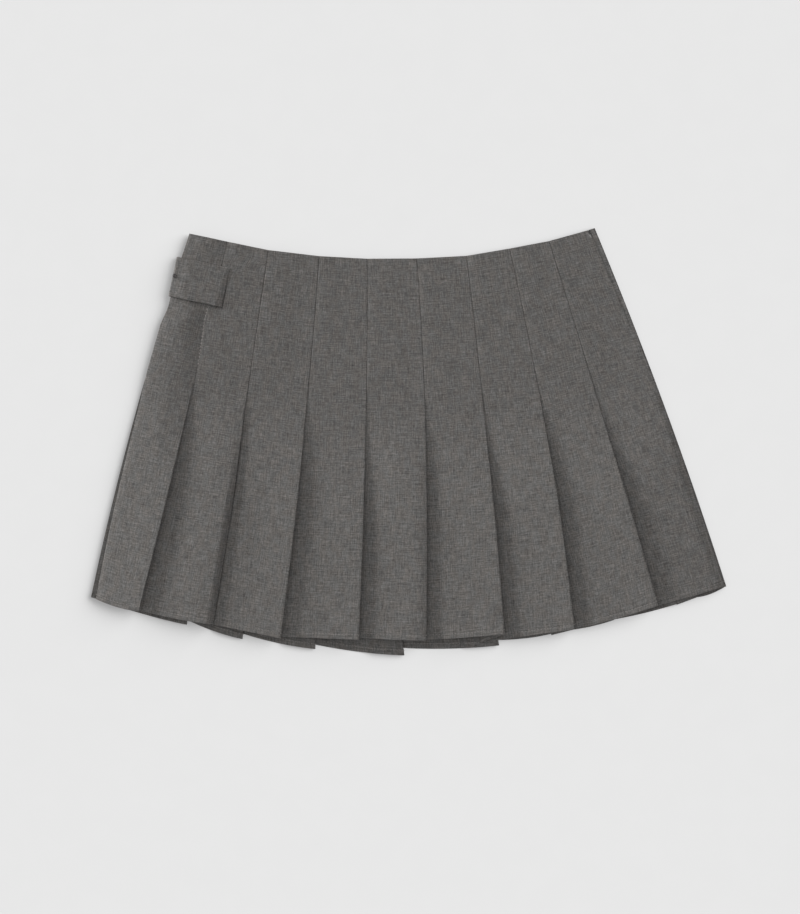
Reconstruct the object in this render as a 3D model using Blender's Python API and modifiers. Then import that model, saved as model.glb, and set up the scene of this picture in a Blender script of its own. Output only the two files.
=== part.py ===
"""Pleated mini skirt with a strap tab at the waist, laid flat on a table with its front up.

X runs across the skirt, Y from the hem to the waist, and Z up from the table top at Z = 0.
Lengths are in millimetres up to the point where a mesh is made.
"""

import math
from collections import namedtuple

import bpy
from mathutils import Matrix, Vector

TO_METRES = 0.001

# ---------------------------------------------------------------- driving sizes
WALL = 1.0  # one layer of cloth
GAP = 0.3  # air between layers that lie on each other, and at seams
LAYER = WALL + GAP  # from the middle of one layer to the middle of the next
TURN = LAYER / 2  # radius of a pressed fold, on the middle of the cloth
PLEAT_HIGH = 2 * LAYER + 0.15  # a face lies this high where its pleat's two layers are under it

RELEASE = 0.4  # share of the length at which the fold tables give a third point
OPENS_FROM, OPENS_TO = 0.34, 0.84  # shares of the length between which a pleat springs open
BACK_LIFT = 1.0  # extra height of the back's upper folds at the hem
BACK_RAMP = 10.0  # length over which the back climbs off the table onto its own pleat
RAMP_START = 0.04  # least share of a face that lies flat before that ramp
CLIMB_ENDS = 0.95  # the front's faces have climbed onto their pleats a little before these begin
ROLL_FROM = 0.8  # share of a face's width from which its edge may roll down again
SAG_POWER = 1.5  # the layer inside a pleat falls away from the upper fold as fast as this
SIDE_WRAP = (4.5, 8.5)  # how far the back's left and right sides turn in, under the front
LAST_FACE_SWELL = 2.6  # height of the soft swell of the front's last face
HEM_BOW = 1.8  # how far a face's hem bows down between its folds

STRAP_WIDE = 38.1  # a strap of one and a half inches
STRAP_THICK = 1.6  # two layers of cloth pressed together
STRAP_FRONT = 51.5  # from the side to the strap's free end, on the front
STRAP_BACK = 52.0  # from the side to its sewn end, under the back
STRAP_TURNED = math.radians(-12.0)  # the strap follows the slope of the waist edge
STRAP_SIDE = Vector((-222.9, 156.3))  # middle of the strap's outermost line
STRAP_TURN = 2.2  # how far it bulges out as it goes round the side, because it is pressed flat
STRAP_TOP = 8.75  # middle of the strap where it has come round the side
STRAP_CREST = 10.9  # middle of the strap where it lies over the first pleat
STRAP_END = 11.3  # middle of the strap at its free end, a little off the cloth
PLATEAU = 12.0  # how far past the strap's edges the skirt stays raised by it
EASE_OUT = 100.0  # length over which the skirt then comes back down to the table
SIDE_IN = STRAP_THICK + GAP + 1.0  # the strap draws the skirt's side in to this
PINCH_EDGE = 3.0  # how far past the strap's edges the side stays drawn in
PINCH_EASE = 26.0  # length over which the side then goes back out

# The strap has pulled the first pleat's line to the right above it and to the left below it. These
# are the shift and the heights in plan between which it fades, from below to above.
DRAWN_ABOVE = (1.5, 138.0, 158.0)
DRAWN_BELOW = (-3.4, 66.0, 118.0, 132.0, 154.0)

# The strap on the front: distance past its turn round the side, and share of its climb there.
STRAP_CLIMB = ((0.0, 0.0), (3.2, 0.22), (7.5, 0.72), (12.2, 1.0))
STRAP_LIFTS = 9.0  # length at its free end over which it lifts

RIVET_RADIUS = 1.9
RIVET_RIM = 0.3  # height of the rim
RIVET_DOME = 0.8  # height of the dome over the rim
RIVET_FROM_SIDE = 2.0  # from the strap's outermost line
RIVET_UP = 0.9  # from the strap's middle
RIVET_SEAT = 9.85  # height of the middle of its flat underside
RIVET_LEANS = math.radians(20)  # it sits where the strap starts to turn down round the side

# ---------------------------------------------------------------- fold tables
# A row is an edge or a fold that shows from above, from left to right, as three points in plan.
# deep_waist and deep_hem: how far the pleat goes back under itself. lift: how high it springs.
# roll: how far its edge rolls down again. step: how much lower the next face's hem starts.
Fold = namedtuple(
    "Fold",
    "waist_x waist_y release_x release_y hem_x hem_y deep_waist deep_hem lift roll step",
)

FRONT = (
    Fold(-205.8, 196.8, -247.6, 58.7, -296.7, -147.9, 0, 0, 0, 0, 0),
    Fold(-172.9, 189.2, -204.6, 48.5, -255.4, -160.3, 16, 20, 3.6, 0.0, -1.0),
    Fold(-132.6, 181.2, -153.4, 39.8, -187.0, -172.9, 29, 22, 6.4, 2.6, 0.0),
    Fold(-84.4, 175.5, -96.5, 30.9, -121.6, -185.5, 32, 22, 6.2, 0.0, -1.2),
    Fold(-39.0, 173.0, -40.0, 29.0, -47.0, -187.0, 31, 22, 5.6, 0.0, -1.9),
    Fold(7.9, 173.3, 15.8, 28.5, 17.5, -187.9, 31, 21, 5.0, 1.4, -0.5),
    Fold(54.9, 175.7, 70.9, 32.8, 89.7, -181.9, 31, 22, 5.4, 0.0, 4.6),
    Fold(95.6, 182.6, 124.9, 38.5, 155.6, -177.3, 26, 22, 5.6, 0.0, -0.4),
    Fold(133.0, 189.7, 175.1, 52.1, 235.1, -154.8, 24, 22, 6.0, 0.6, 0.0),
    Fold(170.4, 200.8, 227.8, 66.3, 299.2, -136.8, 0, 0, 0, 0, 0),
)

BACK = (
    Fold(-206.6, 196.0, -249.0, 58.7, -299.9, -147.2, 0, 0, 0, 0, 0),
    Fold(-166.6, 186.3, -184.0, 43.2, -209.9, -173.1, 28, 22, 0, 0, -4.7),
    Fold(-127.9, 178.0, -139.6, 32.6, -157.2, -186.7, 28, 21, 0, 0, -5.2),
    Fold(-86.3, 173.2, -87.1, 26.1, -88.4, -196.2, 29, 24, 0, 0, -4.3),
    Fold(-40.9, 170.7, -26.2, 22.2, -4.2, -202.2, 30, 26, 0, 0, -7.0),
    Fold(6.3, 170.8, 38.0, 26.0, 85.5, -192.8, 30, 24, 0, 0, -5.2),
    Fold(47.0, 172.6, 84.4, 31.8, 140.5, -180.4, 27, 20, 0, 0, -0.9),
    Fold(88.6, 179.0, 130.8, 40.4, 194.2, -168.8, 28, 20, 0, 0, -0.5),
    Fold(131.1, 187.0, 187.9, 53.8, 273.1, -147.2, 28, 20, 0, 0, 0.0),
    Fold(175.5, 202.0, 229.6, 66.8, 300.6, -136.9, 0, 0, 0, 0, 0),
)

LEVELS = (0.0, 0.07, 0.17, 0.25, 0.34, 0.43, 0.53, 0.64, 0.76, 0.88, 1.0)  # shares of the length
FACE_SHARES = (0.0, 0.2, 0.5, 0.8)  # points across a face, its fold comes after them
UNDER_SHARES = (0.5,)  # points across the layer inside a pleat
FOLD_ANGLES = tuple(map(math.radians, (60, 120)))  # points round a pressed fold
SIDE_ANGLES = tuple(map(math.radians, (45, 90, 135)))  # points round the skirt's sides
STRAP_ANGLES = tuple(map(math.radians, (30, 60, 90, 120, 150)))  # points round the strap's turn
DOME_ANGLES = tuple(map(math.radians, (30, 60, 90)))  # points down the rivet's dome
RIVET_SIDES = 20


# ---------------------------------------------------------------- small curves
def smooth(x):
    """0 up to 0, 1 from 1 on, and an even climb between."""
    x = min(1.0, max(0.0, x))
    return x * x * (3 - 2 * x)


def opening(v):
    """How far the pleats have sprung open at this share of the length."""
    return smooth((v - OPENS_FROM) / (OPENS_TO - OPENS_FROM))


def strap_axes():
    """The strap's direction to the right and its direction up towards the waist, in plan."""
    along = Vector((math.cos(STRAP_TURNED), math.sin(STRAP_TURNED)))
    return along, Vector((-along.y, along.x))


def strap_place(plan):
    """A point in plan as (distance from the strap's outermost line, distance from its middle)."""
    along, up = strap_axes()
    offset = plan - STRAP_SIDE
    return offset.dot(along), offset.dot(up)


def raised_by_strap(plan):
    """The skirt lies on the strap's back end, and comes down to the table all round it."""
    a, b = strap_place(plan)
    past_end = smooth((a - STRAP_BACK - PLATEAU) / EASE_OUT)
    below = smooth((-b - STRAP_WIDE / 2 - PLATEAU) / EASE_OUT)
    return (STRAP_THICK + GAP) * (1 - past_end) * (1 - below)


def on_line(fold, v):
    """A fold's place in plan: the quadratic through its points at 0, RELEASE and 1."""
    at_waist = (v - RELEASE) * (v - 1) / RELEASE
    at_release = v * (v - 1) / (RELEASE * (RELEASE - 1))
    at_hem = v * (v - RELEASE) / (1 - RELEASE)
    return Vector(
        (
            at_waist * fold.waist_x + at_release * fold.release_x + at_hem * fold.hem_x,
            at_waist * fold.waist_y + at_release * fold.release_y + at_hem * fold.hem_y,
        )
    )


def pinched(plan):
    """The strap draws the side in a little where it goes round it."""
    a, b = strap_place(plan)
    along, _ = strap_axes()
    under = 1 - smooth((abs(b) - STRAP_WIDE / 2 - PINCH_EDGE) / PINCH_EASE)
    return plan + along * max(0.0, SIDE_IN - a) * under


def drawn(plan):
    """The strap has pulled the first pleat's line aside."""
    shift, fades, ends = DRAWN_ABOVE
    above = shift * smooth((plan.y - fades) / (ends - fades))
    shift, starts, full, fades, ends = DRAWN_BELOW
    below = shift * smooth((plan.y - starts) / (full - starts)) * (1 - smooth((plan.y - fades) / (ends - fades)))
    return plan + Vector((above + below, 0))


def bow(share, v):
    """A face is cut along a circle at its hem, so the middle of it reaches a little lower."""
    return Vector((0, -HEM_BOW * 4 * share * (1 - share) * v**4))


# ---------------------------------------------------------------- folds
# A section is a list of (place in plan, height), which goes from the left to the right.
def pressed_fold(edge, arriving, leaving, high):
    """The cloth arrives at edge in one direction, turns down and leaves one layer lower."""
    inside = edge - arriving * TURN
    turn = [(inside + arriving * TURN * math.sin(a), high - TURN * (1 - math.cos(a))) for a in FOLD_ANGLES]
    return [(inside, high), *turn, (edge + leaving * TURN, high - LAYER)]


def knife_pleat(edge, arriving, lower, leaving, high):
    """The upper fold at edge, the layer inside the pleat, and the lower fold."""
    inward = (lower - edge).normalized()
    inside = [
        (edge.lerp(lower, share), LAYER + (high - 2 * LAYER) * (1 - share) ** SAG_POWER)
        for share in UNDER_SHARES
    ]
    upper_fold = pressed_fold(edge, arriving, inward, high)
    lower_fold = pressed_fold(lower, inward, leaving, LAYER)
    return upper_fold + inside + lower_fold


def side_turn(edge, inward, top, wrap):
    """At the skirt's side the back turns up and in over itself, to meet the front's edge."""
    radius = top / 2
    inside = edge + inward * radius
    turn = [(inside - inward * radius * math.sin(a), radius * (1 - math.cos(a))) for a in SIDE_ANGLES]
    return [(inside, 0.0), *turn, (inside, top), (edge + inward * wrap, top)]


# ---------------------------------------------------------------- heights across a face
def front_face(first_free, top, roll):
    """Shares and heights over the front's lowest layer.

    The face climbs early, because from first_free on it lies over the two layers of its pleat.
    A face with no pleat of its own, at the side, only swells softly.
    """
    if not top:
        return [(s, LAST_FACE_SWELL * math.sin(math.pi * s)) for s in FACE_SHARES]
    reach = min(1.0, CLIMB_ENDS * first_free * (math.pi / 2) / math.asin(2 * LAYER / top))
    found = []
    for share in FACE_SHARES:
        climb = math.sin(math.pi / 2 * min(1.0, share / reach))
        rolled = roll * smooth((share - ROLL_FROM) / (1 - ROLL_FROM))
        found.append((share, top * climb - rolled))
    return found


def back_face(first_free, top, ramp):
    """Shares and heights over the table: flat, and then a short ramp onto the pleat's two layers."""
    if not top:
        return [(s, 0.0) for s in FACE_SHARES]
    ramp_start = max(RAMP_START, first_free - ramp)
    return [(0.0, 0.0), (ramp_start, 0.0), (first_free, top), ((1 + first_free) / 2, top)]


# ---------------------------------------------------------------- one level of a panel
def panel_section(folds, v, is_front):
    """The middle of the cloth at one level, from the left side to the right."""
    lines = [on_line(fold, v) for fold in folds]
    lines[0] = pinched(lines[0])
    last = len(folds) - 1
    back_top = PLEAT_HIGH + BACK_LIFT * opening(v)
    section = []
    if is_front:
        lines[1] = drawn(lines[1])
    else:
        section += reversed(side_turn(lines[0], (lines[1] - lines[0]).normalized(), back_top, SIDE_WRAP[0]))

    start = lines[0]
    for k in range(1, last + 1):
        fold, edge = folds[k], lines[k]
        face = edge - start
        deep = fold.deep_waist + (fold.deep_hem - fold.deep_waist) * v
        first_free = 1 - (deep + TURN) / face.length
        roll = fold.roll * opening(v)
        if k == last:
            top = 0.0
        else:
            top = PLEAT_HIGH + fold.lift * opening(v) if is_front else back_top
        if is_front:
            across = front_face(first_free, top, roll)
        else:
            across = back_face(first_free, top, BACK_RAMP / face.length)
            if k == 1:
                across = across[1:]
        section += [(start + face * share + bow(share, v), height) for share, height in across]
        if k < last:
            start = edge + Vector((0, -fold.step * v * v))
            leaving = (lines[k + 1] - start).normalized()
            lower = start - leaving * deep
            section += knife_pleat(edge, face.normalized(), lower, leaving, top - roll)

    if is_front:
        section.append((lines[last], 0.0))
    else:
        section += side_turn(lines[last], -face.normalized(), back_top, SIDE_WRAP[1])
    base = WALL / 2 + (back_top + LAYER if is_front else 0)
    return [Vector((p.x, p.y, base + height + raised_by_strap(p))) for p, height in section]


# ---------------------------------------------------------------- objects
def finish(name, colour, roughness, metallic):
    material = bpy.data.materials.new(name)
    material.use_nodes = True
    shader = material.node_tree.nodes["Principled BSDF"]
    shader.inputs["Base Color"].default_value = (*colour, 1)
    shader.inputs["Roughness"].default_value = roughness
    shader.inputs["Metallic"].default_value = metallic
    return material


def sheet_object(name, rows, thickness, material, collection):
    """Rows of points in millimetres as an open surface with Solidify, in metres."""
    wide = len(rows[0])
    points = [point * TO_METRES for row in rows for point in row]
    faces = [
        (r * wide + c, r * wide + c + 1, (r + 1) * wide + c + 1, (r + 1) * wide + c)
        for r in range(len(rows) - 1)
        for c in range(wide - 1)
    ]
    mesh = bpy.data.meshes.new(name)
    mesh.from_pydata(points, [], faces)
    mesh.materials.append(material)
    mesh.shade_smooth()
    mesh.set_sharp_from_angle(angle=math.radians(40))
    thing = bpy.data.objects.new(name, mesh)
    collection.objects.link(thing)
    solid = thing.modifiers.new("Cloth thickness", "SOLIDIFY")
    solid.thickness = thickness * TO_METRES
    solid.offset = 0
    solid.use_even_offset = True
    solid.use_quality_normals = True


def strap_profile():
    """The strap's middle as (distance from its outermost line, height), from the back's end round."""
    low = STRAP_THICK / 2
    radius = (STRAP_TOP - low) / 2
    centre = STRAP_TURN + STRAP_THICK / 2
    profile = [(STRAP_BACK, low), (STRAP_BACK / 2, low), (centre, low)]
    for turn in STRAP_ANGLES:
        profile.append((centre - STRAP_TURN * math.sin(turn), low + radius * (1 - math.cos(turn))))
    for past, share in STRAP_CLIMB:
        profile.append((centre + past, STRAP_TOP + (STRAP_CREST - STRAP_TOP) * share))
    return profile + [(STRAP_FRONT - STRAP_LIFTS, STRAP_CREST), (STRAP_FRONT, STRAP_END)]


def strap_rows():
    """The strap's middle as three lines: its lower edge, its middle and its upper edge."""
    along, up = strap_axes()
    rows = []
    for across in (-0.5, 0.0, 0.5):
        line = STRAP_SIDE + up * STRAP_WIDE * across
        rows.append([Vector((*(line + along * a), z)) for a, z in strap_profile()])
    return rows


def rivet_object(name, material, collection):
    """A turned cap: a flat underside, a short rim and a low dome."""
    along, up = strap_axes()
    place = STRAP_SIDE + along * RIVET_FROM_SIDE + up * RIVET_UP
    profile = [(0.0, RIVET_RIM + RIVET_DOME)]
    for turn in DOME_ANGLES:
        profile.append((RIVET_RADIUS * math.sin(turn), RIVET_RIM + RIVET_DOME * math.cos(turn)))
    profile += [(RIVET_RADIUS, 0.0), (0.0, 0.0)]
    mesh = bpy.data.meshes.new(name)
    points = [Vector((r, 0, z)) * TO_METRES for r, z in profile]
    mesh.from_pydata(points, [(i, i + 1) for i in range(len(points) - 1)], [])
    mesh.materials.append(material)
    cap = bpy.data.objects.new(name, mesh)
    collection.objects.link(cap)
    cap.location = Vector((place.x, place.y, RIVET_SEAT)) * TO_METRES
    cap.rotation_euler = Matrix.Rotation(-RIVET_LEANS, 3, up.to_3d()).to_euler()
    screw = cap.modifiers.new("Turned", "SCREW")
    screw.steps = screw.render_steps = RIVET_SIDES
    screw.use_merge_vertices = True
    screw.merge_threshold = 0.00005


def main():
    for thing in list(bpy.data.objects):
        bpy.data.objects.remove(thing)
    skirt = bpy.data.collections.new("pleated_mini_skirt")
    bpy.context.scene.collection.children.link(skirt)

    suiting = finish("grey_suiting", (0.122, 0.115, 0.110), roughness=0.9, metallic=0.0)
    gunmetal = finish("gunmetal", (0.09, 0.08, 0.08), roughness=0.35, metallic=1.0)

    front = [panel_section(FRONT, v, is_front=True) for v in LEVELS]
    back = [panel_section(BACK, v, is_front=False) for v in LEVELS]
    sheet_object("skirt_front", front, WALL, suiting, skirt)
    sheet_object("skirt_back", back, WALL, suiting, skirt)
    sheet_object("waist_strap", strap_rows(), STRAP_THICK, suiting, skirt)
    rivet_object("strap_rivet", gunmetal, skirt)


main()
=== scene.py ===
# %% [markdown]
# # A pleated mini skirt, laid flat
#
# The real thing is a short skirt of grey mélange suiting. Its front and back panels are pressed into
# knife pleats, which are stitched down over the top third and spring open below. A strap of the same
# cloth comes round the left side at the waist, and a small dark cap holds it near its fold.
#
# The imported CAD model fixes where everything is. Its cloth is a plain wall of 1 mm, so each panel is
# made again here as a thin shell in the same place, with finer folds, a turned-up hem and creases.

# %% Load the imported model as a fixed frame
import math
from collections import namedtuple

import bmesh
import bpy
import numpy as np
from mathutils import Matrix, Vector


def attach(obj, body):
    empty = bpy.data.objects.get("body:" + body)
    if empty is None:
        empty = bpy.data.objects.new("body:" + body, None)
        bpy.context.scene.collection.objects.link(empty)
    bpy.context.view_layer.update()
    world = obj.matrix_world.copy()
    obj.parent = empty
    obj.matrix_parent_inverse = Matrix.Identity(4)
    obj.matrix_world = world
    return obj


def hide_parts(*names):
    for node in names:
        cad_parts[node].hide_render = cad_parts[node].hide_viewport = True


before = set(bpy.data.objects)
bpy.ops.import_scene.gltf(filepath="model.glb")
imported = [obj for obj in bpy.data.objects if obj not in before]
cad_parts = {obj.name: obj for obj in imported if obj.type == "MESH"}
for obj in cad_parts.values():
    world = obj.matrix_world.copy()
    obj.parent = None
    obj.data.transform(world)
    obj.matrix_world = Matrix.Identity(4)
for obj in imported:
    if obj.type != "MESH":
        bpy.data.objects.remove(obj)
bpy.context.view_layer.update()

MM = 0.001

# %% [markdown]
# ## The cloth's sizes
#
# Pressed suiting of 270 g a square metre is about 0.4 mm thick. Where the pleats are stitched down,
# its layers are pressed close on each other, and towards the hem they spring apart. Shares of the
# length count from 0 at the waist to 1 at the hem.

# %% Sizes of the cloth and of its layers, in millimetres
CLOTH = 0.4  # one layer
LAYER_WAIST = 0.42  # from one layer's middle to the next where the pleats are stitched down
LAYER_HEM = 1.1  # the same at the hem
OPENS_OVER = 0.34  # share of the length over which a pleat springs open
RELEASE = 0.4  # share of the length at which the fold tables give a third point
LENGTH = 362.0  # from waist to hem along the middle of a face

FRONT_BASE = 4.9  # middle of the front's lowest layer at the waist, above the back
FRONT_BASE_RISES = 1.0  # how much higher that is at the hem
BACK_LIFT = 1.0  # extra height of the back's upper folds at the hem
SIDE_TURN = 1.3  # how far the back's side bulges out past the line on which it turns
SIDE_WRAP = 9.0  # how far it turns in under the front
FOLD_TURN = 0.32  # the same at a pressed fold
SEAM_DEEP = 0.12  # depth of the groove at a pleat where it is stitched down
BACK_BASE = 0.36  # middle of the back's lowest layer, whose hem is thicker

HEM_TURNED = 5.6  # height of the narrow hem
HEM_EXTRA = 0.32  # what the turned-up layer adds inside
HEM_STITCH = 4.6  # from the hem's edge to its row of stitches


def smooth(x):
    """0 up to 0, 1 from 1 on, and an even climb between."""
    x = min(1.0, max(0.0, x))
    return x * x * (3 - 2 * x)


def climb(x, start, over):
    """0 up to start, and then an even climb to 1 over this width."""
    return smooth((x - start) / over)


def fall(x, start, over):
    """1 up to start, and then an even fall to 0 over this width."""
    return 1 - climb(x, start, over)


def opening(v, half_open=0.53):
    """How far a pleat has sprung open at this share of the length; at half_open it is half open."""
    return smooth((v - half_open) / OPENS_OVER + 0.5)


def layer(v):
    """From one layer's middle to the next at this share of the length."""
    return LAYER_WAIST + (LAYER_HEM - LAYER_WAIST) * opening(v)


print("Layers are", layer(0), "mm apart at the waist and", layer(1), "mm at the hem")

# %% [markdown]
# ## The folds
#
# A knife pleat is a face of cloth, a pressed fold at its edge, a layer that goes back under the face,
# and a second fold from which the next face starts. Only the upper folds show, as lines that fan out
# from the waist. Each row is such a line, or a side of the panel, as three points, at the waist, where
# it is released and at the hem, because the folds aren't quite straight. The places are those of the
# CAD source, within 2 mm, but for the front's right edge, which reaches the back's here. Then come:
#
# - deep_waist, deep_hem: how far the pleat goes back under its face
# - step: how much lower the next face's hem starts; bow: how far this face's hem bows down
# - opens: the share of the length at which the pleat has sprung half open
# - out, lift: how far to the right and up its edge has moved then
# - roll, roll_wide: how far and over what width the face rolls down to its relaxed edge
# - side, side_wide: how far and over what width the fold's steep side shows from above

# %% Tables of folds, in millimetres, from left to right
Fold = namedtuple(
    "Fold",
    "waist_x waist_y release_x release_y hem_x hem_y deep_waist deep_hem "
    "step bow opens out lift roll roll_wide side side_wide",
    defaults=(0.53, 0, 0, 0, 0, 0, 0),
)

FRONT = [Fold(*row) for row in (
    (-206.9, 196.8, -249.3, 58.7, -297.2, -148.7, 0, 0, 0, 0),
    (-172.9, 189.2, -204.6, 48.5, -255.4, -160.3, 16, 20, -1, 1.8, 0.52, 0.7, 5.6, 0.2, 6),
    (-132.6, 181.2, -153.4, 39.8, -187.0, -172.9, 29, 22, 0, 1.2, 0.54, 2.2, 9.6, 3.2, 30, 4.3, 5.2),
    (-84.4, 175.5, -96.5, 30.9, -121.6, -185.5, 32, 22, -1.2, 0, 0.53, 0.8, 6.4, 0.2, 5),
    (-39.0, 173.0, -40.0, 29.0, -47.0, -187.0, 31, 22, -1.9, 0, 0.6, 0, 6, 0.2, 5),
    (7.9, 173.3, 15.8, 28.5, 17.5, -187.9, 31, 21, -0.5, 0.6, 0.54, -0.7, 6.8, 2, 14),
    (54.9, 175.7, 70.9, 32.8, 89.7, -181.9, 31, 22, 4.6, 0.4, 0.58, 1.1, 6.2, 0.2, 5),
    (95.6, 182.6, 124.9, 38.5, 155.6, -177.3, 26, 22, -0.4, 0, 0.53, 1.2, 6.2, 0.2, 5),
    (133.0, 189.7, 175.1, 52.1, 235.1, -154.8, 24, 22, 0, 1.6, 0.6, 0.7, 6.2, 0.3, 6),
    (175.9, 201.6, 229.4, 66.3, 299.2, -136.8, 0, 0, 0, 0.4, 0.5),
)]
BACK = [Fold(*row) for row in (
    (-206.6, 196.0, -249.0, 58.7, -299.9, -147.2, 0, 0, 0, 0),
    (-166.6, 186.3, -184.0, 43.2, -209.9, -173.1, 28, 22, -4.7, 1.8),
    (-127.9, 178.0, -139.6, 32.6, -157.2, -186.7, 28, 21, -5.2, 1.8),
    (-86.3, 173.2, -87.1, 26.1, -88.4, -196.2, 29, 24, -4.3, 1.8),
    (-40.9, 170.7, -26.2, 22.2, -4.2, -202.2, 30, 26, -7, 1.8),
    (6.3, 170.8, 38.0, 26.0, 85.5, -192.8, 30, 24, -5.2, 1.8),
    (47.0, 172.6, 84.4, 31.8, 140.5, -180.4, 27, 20, -0.9, 1.8),
    (88.6, 179.0, 130.8, 40.4, 194.2, -168.8, 28, 20, -0.5, 1.8),
    (131.1, 187.0, 187.9, 53.8, 273.1, -147.2, 28, 20, 0, 1.8),
    (176.1, 202.0, 229.8, 66.8, 300.6, -136.9, 0, 0, 0, 1.8),
)]


def on_line(fold, v):
    """A fold's place in plan: the quadratic through its points at 0, RELEASE and 1."""
    shares = (
        (v - RELEASE) * (v - 1) / RELEASE,
        v * (v - 1) / (RELEASE * (RELEASE - 1)),
        v * (v - RELEASE) / (1 - RELEASE),
    )
    return Vector([sum(share * fold[2 * n + axis] for n, share in enumerate(shares)) for axis in (0, 1)])


print(len(FRONT) - 2, "pleats in front and", len(BACK) - 2, "behind")

# %% [markdown]
# ## How the strap moves the cloth
#
# The strap's sewn end lies between the skirt and the table, so the skirt is a little higher there, and
# the strap draws the side in where it goes round it. Both effects fade out slowly, as stiff cloth makes
# them do. The strap has also pulled the first pleat's line aside. The first face sags down to that
# line, so the second face's start stands proud. The strap's free end has pressed itself a shallow bed.
# The bed's wall is narrow, so two of the second face's columns move to its foot and its top.

# %% The strap's place, and what it does to the panels
STRAP_WIDE = 38.1
STRAP_THICK = 1.1  # two layers of cloth, pressed, with their seam allowance inside
STRAP_GAP = 0.3  # air over and under its sewn end
STRAP_FRONT = 51.5  # from the side to the strap's free end, on the front
STRAP_BACK = 52.0  # from the side to its sewn end, under the back
STRAP_TURNED = math.radians(-12.0)  # the strap follows the slope of the waist edge
STRAP_SIDE = Vector((-222.9, 156.3))  # middle of the strap's outermost line
STRAP_ALONG = Vector((math.cos(STRAP_TURNED), math.sin(STRAP_TURNED)))
STRAP_UP = Vector((-STRAP_ALONG.y, STRAP_ALONG.x))
PLATEAU, EASE_OUT = 12.0, 100.0  # past the strap the skirt stays raised, and then comes down
SIDE_IN = 2.3  # how far the strap draws the side in
PINCH_EDGE, PINCH_EASE = 3.0, 26.0  # that goes on beside the strap, and then fades
HOLD_EDGE, HOLD_EASE, HOLD_PAST = 2.0, 16.0, 10.0  # so does its hold on the cloth, and past its end
SAG_DEEP, SAG_WIDE = 1.2, 9.0  # the first face's sag
BED_DEEP, BED_FROM, BED_EASE = 1.9, 14.0, 12.0  # the bed starts before the strap's end, and deepens
WALL_FOOT, WALL_TOP = 0.6, 1.2  # the places of its wall past the strap's end
FOOT_SHARE, TOP_SHARE = 0.26, 0.34  # the columns of the second face that move there
HELD_EDGE, HELD_EASE = 3.0, 12.0  # they stay there beside the strap, and then go back


def strap_place(plan):
    """A point in plan as (distance from the strap's outermost line, distance from its middle)."""
    offset = plan - STRAP_SIDE
    return offset.dot(STRAP_ALONG), offset.dot(STRAP_UP)


def raised_by_strap(plan):
    """The skirt lies on the strap's back end, and comes down to the table all round it."""
    a, b = strap_place(plan)
    held = fall(a - STRAP_BACK, PLATEAU, EASE_OUT) * fall(-b - STRAP_WIDE / 2, PLATEAU, EASE_OUT)
    return (STRAP_THICK + STRAP_GAP) * held


def pinched(plan):
    """The strap draws the side in a little where it goes round it."""
    a, b = strap_place(plan)
    under = fall(abs(b) - STRAP_WIDE / 2, PINCH_EDGE, PINCH_EASE)
    return plan + STRAP_ALONG * max(0.0, SIDE_IN - a) * under


def drawn(plan):
    """Under the strap the first pleat's line jogs, because the strap has pulled the cloth to the side."""
    above = 1.5 * climb(plan.y, 138, 20)
    below = -3.4 * climb(plan.y, 66, 52) * fall(plan.y, 132, 22)
    return plan + Vector((above + below, 0))


def sagged(plan, line, v):
    """The first face sags towards the first pleat's line, at this share of the length."""
    distance = plan.x - line.x
    across = math.exp(-((distance / SAG_WIDE) ** 2)) if distance < 0 else fall(distance, 0, 0.7)
    return SAG_DEEP * across * climb(v, 0.05, 0.08) * fall(v, 0.26, 0.13)


def pressed_by_strap(plan):
    """1 under the strap, which holds the cloth down, and 0 away from it."""
    a, b = strap_place(plan)
    return fall(abs(b) - STRAP_WIDE / 2, HOLD_EDGE, HOLD_EASE) * fall(a, STRAP_FRONT, HOLD_PAST)


def bedded(plan):
    """The bed of the strap's free end: deepest at its lower corner, with a steep wall past its end."""
    a, b = strap_place(plan)
    past = a - STRAP_FRONT
    along = climb(past, -BED_FROM, BED_EASE) * fall(past, WALL_FOOT, WALL_TOP - WALL_FOOT)
    return BED_DEEP * along * (climb(-b, -15, 30) * fall(-b, STRAP_WIDE / 2, 4))


def to_wall(share, start, edge):
    """Moves the shares of the second face so that two of its columns lie at the bed's wall."""
    a, b = strap_place(start)
    wide = strap_place(edge)[0] - a
    foot, top = [(STRAP_FRONT + past - a) / wide for past in (WALL_FOOT, WALL_TOP)]
    if share <= FOOT_SHARE:
        moved = share / FOOT_SHARE * foot
    elif share <= TOP_SHARE:
        moved = top
    else:
        moved = top + (share - TOP_SHARE) / (1 - TOP_SHARE) * (1 - top)
    return share + (moved - share) * fall(abs(b) - STRAP_WIDE / 2, HELD_EDGE, HELD_EASE)


print("The strap raises the skirt by", round(raised_by_strap(STRAP_SIDE), 2), "mm")

# %% [markdown]
# ## A fold and a face in section
#
# A panel is a stack of sections, one for each level between waist and hem. A section walks across the
# panel, face, fold, layer inside the pleat, lower fold, next face, and gives each point a place in plan
# and a height. All sections have the same number of points, so they join into clean quads, and the
# points are closest where the cloth bends most.

# %% Where the points of a section lie
FACE_SHARES = (
    0, 0.008, 0.016, 0.028, 0.045, 0.07, 0.1, 0.14, 0.19, 0.26, 0.34, 0.42,
    0.51, 0.6, 0.69, 0.77, 0.83, 0.88, 0.905, 0.925, 0.945, 0.965, 0.985,
)
UNDER_SHARES = (0.15, 0.35, 0.6, 0.85)  # across the layer inside a pleat
FOLD_ANGLES = [math.radians(a) for a in (30, 60, 90, 120, 150)]  # round a pressed fold
SIDE_ANGLES = [math.radians(a) for a in (22, 45, 68, 90, 112, 135, 158)]  # round the skirt's sides

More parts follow.
